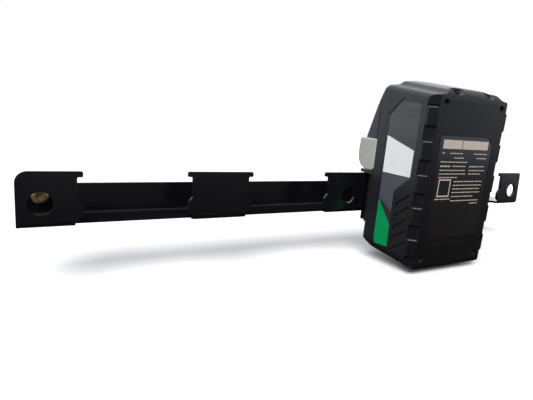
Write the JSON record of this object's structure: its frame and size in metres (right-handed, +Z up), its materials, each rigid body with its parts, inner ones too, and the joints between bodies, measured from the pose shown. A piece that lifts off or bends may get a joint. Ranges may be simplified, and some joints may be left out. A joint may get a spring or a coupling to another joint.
{
  "type": "battery wall rail",
  "caption": "Folded steel wall rail with slide-in bays; one slide-on tool battery pack with two sprung side latches hangs in a bay and slides up and off.",
  "frame": {"origin": "mid-length of the rail, at the height of its screw holes, on the back face that lies on the wall", "axes": "+X along the rail, +Y into the wall, +Z up"},
  "size_m": [0.4292, 0.1162, 0.1294],
  "materials": {
    "rail_coat": "gloss powder coat",
    "yellow_zinc": "yellow zinc plate",
    "case_black": "fine moulded texture",
    "latch_grey": "satin",
    "spring_steel": "drawn wire",
    "side_label": "gloss film with green and white fields",
    "rating_label": "gloss film",
    "screw_steel": "black oxide",
    "cell_wrap": "shrink film",
    "holder_plastic": "natural moulded",
    "nickel": "bright",
    "insulating_card": "matt",
    "foam": "closed-cell foam",
    "terminal_plastic": "moulded",
    "contact_metal": "tinned",
    "board": "solder mask",
    "chip": "moulded",
    "header_plastic": "moulded",
    "wire_red": "soft sleeve",
    "wire_black": "soft sleeve",
    "wire_thin": "soft sleeve",
    "sensor": "dipped"
  },
  "bodies": {
    "wall_rail": {"rail_channel": "rail_coat", "mounting_screw": "yellow_zinc"},
    "battery_pack": {"upper_case": "case_black", "lower_case": "case_black", "side_label_left": "side_label", "side_label_right": "side_label", "rating_label": "rating_label", "case_screws": "screw_steel", "terminal_block": "terminal_plastic", "power_terminals": "contact_metal", "signal_terminals": "contact_metal", "circuit_board": "board", "controller_chip": "chip", "power_switch_chip": "chip", "wire_header": "header_plastic", "cell_holder_left": "holder_plastic", "cell_holder_right": "holder_plastic", "cell_01": "cell_wrap", "cell_02": "cell_wrap", "cell_03": "cell_wrap", "cell_04": "cell_wrap", "cell_05": "cell_wrap", "cell_06": "cell_wrap", "cell_07": "cell_wrap", "cell_08": "cell_wrap", "cell_09": "cell_wrap", "cell_10": "cell_wrap", "strip_left_1": "nickel", "strip_left_2": "nickel", "strip_left_3": "nickel", "strip_right_1": "nickel", "strip_right_2": "nickel", "strip_right_3": "nickel", "insulator_left": "insulating_card", "insulator_right": "insulating_card", "foam_pad": "foam", "lead_positive": "wire_red", "lead_negative": "wire_black", "sense_wires": "wire_thin", "temperature_sensor": "sensor", "latch_spring_left": "spring_steel", "latch_spring_right": "spring_steel"},
    "left_latch": {"latch_left": "latch_grey"},
    "right_latch": {"latch_right": "latch_grey"}
  },
  "joints": [
    {"name": "battery_slide", "type": "slide", "parent": "wall_rail", "child": "battery_pack", "axis": [0, -0.0523, 0.9986], "range_m": [0, 0.05]},
    {"name": "latch_left_press", "type": "slide", "parent": "battery_pack", "child": "left_latch", "axis": [1, 0, 0], "range_m": [0, 0.003], "stiffness_N_per_m": 900, "springref_m": -0.002, "deforming": ["latch_spring_left"]},
    {"name": "latch_right_press", "type": "slide", "parent": "battery_pack", "child": "right_latch", "axis": [-1, 0, 0], "range_m": [0, 0.003], "stiffness_N_per_m": 900, "springref_m": -0.002, "deforming": ["latch_spring_right"]}
  ]
}
